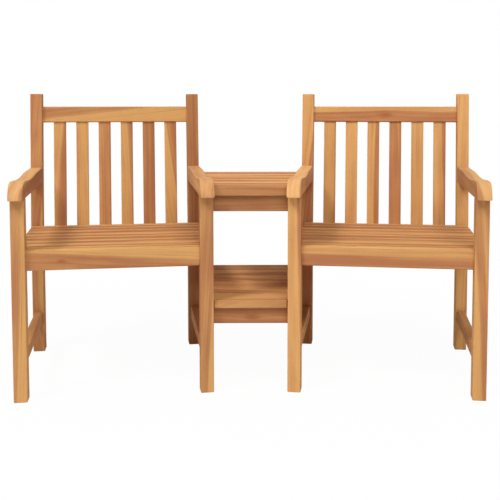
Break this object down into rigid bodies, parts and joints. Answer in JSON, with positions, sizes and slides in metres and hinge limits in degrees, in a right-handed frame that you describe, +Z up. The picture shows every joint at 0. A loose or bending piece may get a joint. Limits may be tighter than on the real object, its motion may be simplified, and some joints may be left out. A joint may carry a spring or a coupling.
{
  "type": "companion bench with tea table",
  "caption": "Teak companion bench: slatted armchairs angled towards each other and joined by a wedge-shaped slatted tea table with a lower shelf.",
  "frame": {"origin": "on the ground, at the middle of the bench's overall width and depth", "axes": "+X across the bench to the viewer's right as seen from the front, +Y from the front to the back, +Z up"},
  "size_m": [1.5462, 0.7092, 0.9],
  "materials": {
    "teak_leg": "oiled satin teak",
    "teak_arm": "oiled satin teak",
    "teak_rail": "oiled satin teak",
    "teak_slat": "oiled satin teak",
    "teak_board": "oiled satin teak",
    "bolt_steel": "plain stainless steel"
  },
  "bodies": {
    "root": {"frame_bolts": "bolt_steel", "left_back_slats": "teak_slat", "left_front_rail": "teak_rail", "left_front_seat_slat": "teak_slat", "left_inner_armrest": "teak_arm", "left_inner_back_post": "teak_leg", "left_inner_front_leg": "teak_leg", "left_inner_side_rail": "teak_rail", "left_inner_stretcher": "teak_rail", "left_lower_back_rail": "teak_rail", "left_outer_armrest": "teak_arm", "left_outer_back_post": "teak_leg", "left_outer_front_leg": "teak_leg", "left_outer_side_rail": "teak_rail", "left_outer_stretcher": "teak_rail", "left_seat_slats": "teak_slat", "left_shelf_bearer": "teak_rail", "left_table_bearer": "teak_rail", "left_top_rail": "teak_rail", "right_back_slats": "teak_slat", "right_front_rail": "teak_rail", "right_front_seat_slat": "teak_slat", "right_inner_armrest": "teak_arm", "right_inner_back_post": "teak_leg", "right_inner_front_leg": "teak_leg", "right_inner_side_rail": "teak_rail", "right_inner_stretcher": "teak_rail", "right_lower_back_rail": "teak_rail", "right_outer_armrest": "teak_arm", "right_outer_back_post": "teak_leg", "right_outer_front_leg": "teak_leg", "right_outer_side_rail": "teak_rail", "right_outer_stretcher": "teak_rail", "right_seat_slats": "teak_slat", "right_shelf_bearer": "teak_rail", "right_table_bearer": "teak_rail", "right_top_rail": "teak_rail", "shelf_back_apron": "teak_rail", "shelf_board_1": "teak_board", "shelf_board_2": "teak_board", "shelf_board_3": "teak_board", "shelf_board_4": "teak_board", "shelf_board_5": "teak_board", "shelf_board_6": "teak_board", "shelf_front_apron": "teak_rail", "square_nuts": "bolt_steel", "table_back_apron": "teak_rail", "table_front_apron": "teak_rail", "table_top_board_1": "teak_board", "table_top_board_2": "teak_board", "table_top_board_3": "teak_board", "table_top_board_4": "teak_board", "table_top_board_5": "teak_board", "table_top_board_6": "teak_board"}
  },
  "joints": []
}
